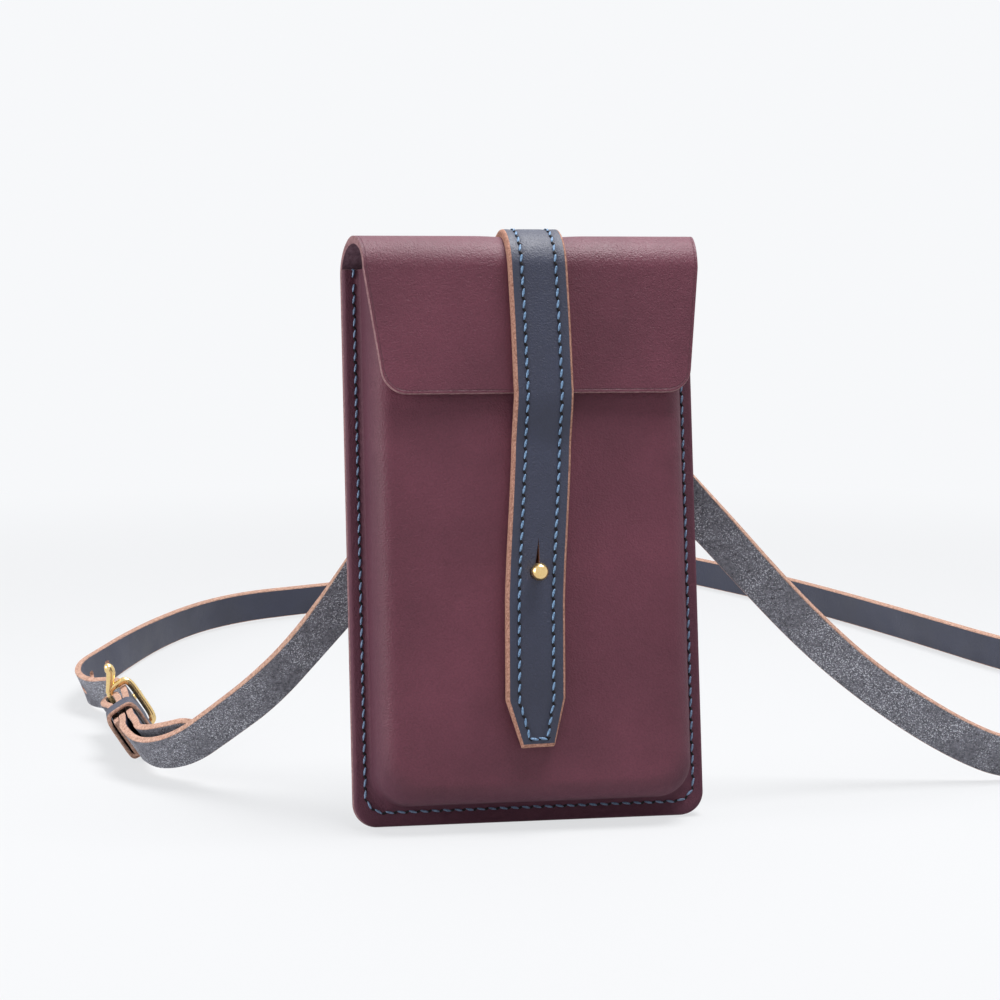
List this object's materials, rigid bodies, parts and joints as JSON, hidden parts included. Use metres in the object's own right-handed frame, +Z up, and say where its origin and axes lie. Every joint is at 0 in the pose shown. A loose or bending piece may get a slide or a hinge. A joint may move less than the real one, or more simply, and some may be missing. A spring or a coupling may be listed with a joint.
{
  "type": "phone pouch",
  "caption": "Leather phone pouch with a moulded front, fold-over flap, stud-fastened closure strap, back loop and a buckled shoulder strap.",
  "frame": {"origin": "middle of the pouch's bottom edge, on the surface it stands on", "axes": "+Z up, +X along the pouch's width, +Y from its front to its back"},
  "size_m": [0.3593, 0.4994, 0.1672],
  "materials": {
    "burgundy_leather": "smooth grain, satin",
    "navy_leather": "smooth grain, satin, raw tan edges",
    "strap_leather": "smooth navy inside, rough speckled outside",
    "seam_thread": "waxed linen",
    "strap_thread": "waxed linen",
    "brass": "polished"
  },
  "bodies": {
    "pouch": {"back_panel": "burgundy_leather", "front_panel": "burgundy_leather", "pouch_seam_thread": "seam_thread", "stud_knob": "brass", "stud_screw": "brass", "belt_loop": "navy_leather", "belt_loop_lining": "navy_leather", "belt_loop_thread": "strap_thread", "shoulder_strap_buckle_end": "strap_leather", "shoulder_strap_hole_end": "strap_leather", "buckle_fold_thread": "strap_thread"},
    "flap": {"flap": "burgundy_leather", "closure_strap": "navy_leather", "closure_strap_lining": "navy_leather", "closure_strap_thread": "strap_thread"},
    "tail": {"strap_tail": "navy_leather", "strap_tail_lining": "navy_leather", "strap_tail_thread": "strap_thread"},
    "buckle": {"buckle_frame": "brass"},
    "prong": {"buckle_prong": "brass"},
    "keeper": {"strap_keeper": "strap_leather"}
  },
  "joints": [
    {"name": "flap_hinge", "type": "hinge", "parent": "pouch", "child": "flap", "pos_m": [0, 0.03076, 0.1511], "axis": [-1, 0, 0], "range_deg": [0, 125]},
    {"name": "tail_lift", "type": "hinge", "parent": "flap", "child": "tail", "pos_m": [0, -0.00133, 0.12113], "axis": [-1, 0, 0], "range_deg": [0, 110]},
    {"name": "buckle_swivel", "type": "hinge", "parent": "pouch", "child": "buckle", "pos_m": [-0.10895, 0.134, 0.00797], "axis": [-0.5446, 0, 0.8387], "range_deg": [-10, 10]},
    {"name": "prong_swing", "type": "hinge", "parent": "pouch", "child": "prong", "pos_m": [-0.10895, 0.134, 0.00797], "axis": [-0.5446, 0, 0.8387], "range_deg": [-3, 3]},
    {"name": "keeper_slide", "type": "slide", "parent": "pouch", "child": "keeper", "axis": [0, 1, 0], "range_m": [-0.0025, 0.003]}
  ]
}
